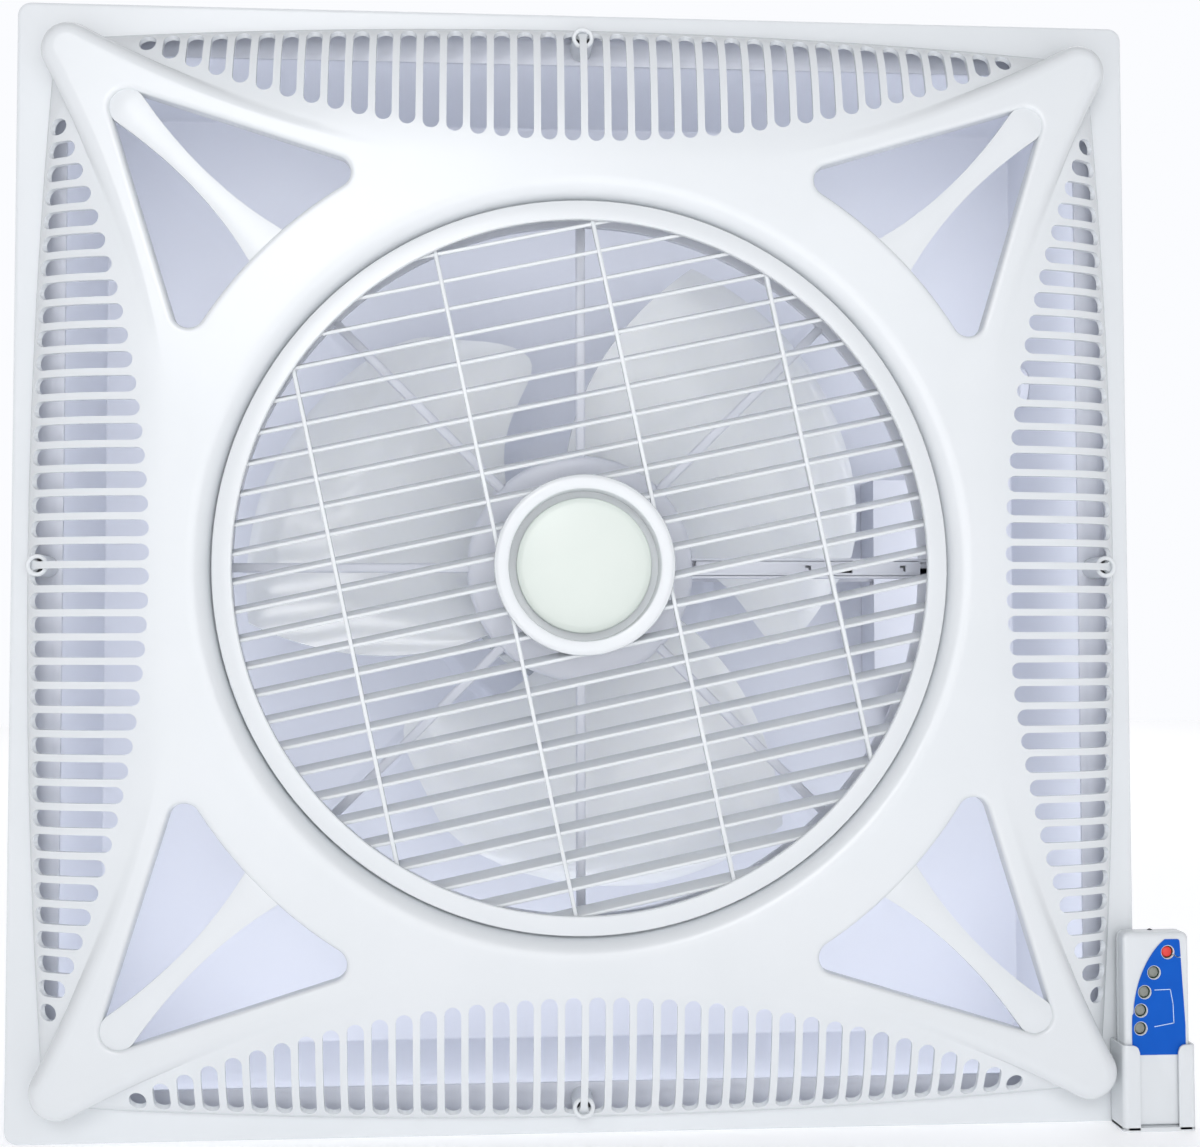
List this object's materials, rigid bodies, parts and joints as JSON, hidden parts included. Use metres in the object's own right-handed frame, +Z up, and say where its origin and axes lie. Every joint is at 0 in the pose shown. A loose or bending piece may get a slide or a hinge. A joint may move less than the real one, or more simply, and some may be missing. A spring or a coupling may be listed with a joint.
{
  "type": "ceiling box fan",
  "caption": "Square lay-in ceiling fan: slotted panel with a turning louvre grille, bladed fan and steel box behind it, and a remote handset in its clip-on holder.",
  "frame": {"origin": "middle of the square panel, level with the front plane of its flange, where the ceiling grid meets it", "axes": "standing on edge as pictured: +X to the right of the panel, +Z up, -Y out of its face; fitted in a ceiling, -Y points down"},
  "size_m": [0.6233, 0.195, 0.595],
  "materials": {
    "panel_white": "gloss",
    "louvre_white": "gloss",
    "guard_white": "satin",
    "hub_disc": "satin gloss",
    "blade_plastic": "gloss, slightly translucent",
    "housing_paint": "satin powder coat",
    "dark_plastic": "satin",
    "lead_sheath": "satin",
    "zinc_steel": "zinc plated",
    "motor_aluminium": "die cast, matt",
    "lamination_steel": "oiled laminations",
    "bearing_steel": "ground",
    "box_white": "satin",
    "board_green": "solder mask",
    "holder_white": "gloss",
    "handset_white": "gloss",
    "label_blue": "gloss film",
    "key_red": "satin rubber-like",
    "key_grey": "satin rubber-like",
    "cell_black": "shrink film",
    "screw_dark": "blackened"
  },
  "bodies": {
    "frame": {"front_panel": "panel_white", "rear_housing": "housing_paint", "panel_screw_top": "screw_dark", "panel_screw_left": "screw_dark", "panel_screw_bottom": "screw_dark", "panel_screw_right": "screw_dark", "guard": "guard_white", "guard_screw_1": "zinc_steel", "guard_screw_2": "zinc_steel", "guard_screw_3": "zinc_steel", "guard_screw_4": "zinc_steel", "wire_duct_cover": "guard_white", "ir_receiver": "dark_plastic", "louvre_motor": "zinc_steel", "louvre_motor_screw_1": "zinc_steel", "louvre_motor_screw_2": "zinc_steel", "louvre_motor_cover": "guard_white", "motor_mount": "zinc_steel", "motor_rear_shell": "motor_aluminium", "motor_front_shell": "motor_aluminium", "motor_stator": "lamination_steel", "motor_bearing_rear": "bearing_steel", "motor_bearing_front": "bearing_steel", "motor_screw_1": "zinc_steel", "motor_screw_2": "zinc_steel", "motor_screw_3": "zinc_steel", "motor_screw_4": "zinc_steel", "control_box": "box_white", "control_board": "board_green", "control_box_cover": "box_white", "motor_capacitor": "dark_plastic", "cable_gland": "box_white", "motor_lead": "lead_sheath", "hanger_bracket_1": "zinc_steel", "hanger_bracket_2": "zinc_steel", "hanger_bracket_3": "zinc_steel", "hanger_bracket_4": "zinc_steel", "remote_cradle": "holder_white"},
    "louvre": {"louvre_grille": "louvre_white", "louvre_shaft": "bearing_steel", "louvre_screw": "zinc_steel", "hub_cap": "hub_disc"},
    "rotor": {"motor_rotor": "lamination_steel", "motor_shaft": "bearing_steel", "fan_blade": "blade_plastic", "blade_nut": "blade_plastic"},
    "handset": {"remote_front_shell": "handset_white", "remote_back_shell": "handset_white", "remote_label_film": "label_blue", "remote_board": "board_green", "remote_ir_led": "dark_plastic", "battery_cover": "handset_white", "battery_cell_1": "cell_black", "battery_cell_2": "cell_black"},
    "power_button_key": {"power_button": "key_red"},
    "speed_button_1_key": {"speed_button_1": "key_grey"},
    "speed_button_2_key": {"speed_button_2": "key_grey"},
    "speed_button_3_key": {"speed_button_3": "key_grey"},
    "speed_button_4_key": {"speed_button_4": "key_grey"}
  },
  "joints": [
    {"name": "fan_spin", "type": "hinge", "parent": "frame", "child": "rotor", "pos_m": [0, 0, 0], "axis": [0, -1, 0], "continuous": true},
    {"name": "louvre_spin", "type": "hinge", "parent": "frame", "child": "louvre", "pos_m": [0, 0, 0], "axis": [0, -1, 0], "continuous": true},
    {"name": "remote_slide", "type": "slide", "parent": "frame", "child": "handset", "axis": [0, 0, 1], "range_m": [0, 0.11]},
    {"name": "power_button_press", "type": "slide", "parent": "handset", "child": "power_button_key", "axis": [0, 1, 0], "range_m": [0, 0.0008], "stiffness_N_per_m": 400},
    {"name": "speed_button_1_press", "type": "slide", "parent": "handset", "child": "speed_button_1_key", "axis": [0, 1, 0], "range_m": [0, 0.0008], "stiffness_N_per_m": 400},
    {"name": "speed_button_2_press", "type": "slide", "parent": "handset", "child": "speed_button_2_key", "axis": [0, 1, 0], "range_m": [0, 0.0008], "stiffness_N_per_m": 400},
    {"name": "speed_button_3_press", "type": "slide", "parent": "handset", "child": "speed_button_3_key", "axis": [0, 1, 0], "range_m": [0, 0.0008], "stiffness_N_per_m": 400},
    {"name": "speed_button_4_press", "type": "slide", "parent": "handset", "child": "speed_button_4_key", "axis": [0, 1, 0], "range_m": [0, 0.0008], "stiffness_N_per_m": 400}
  ]
}
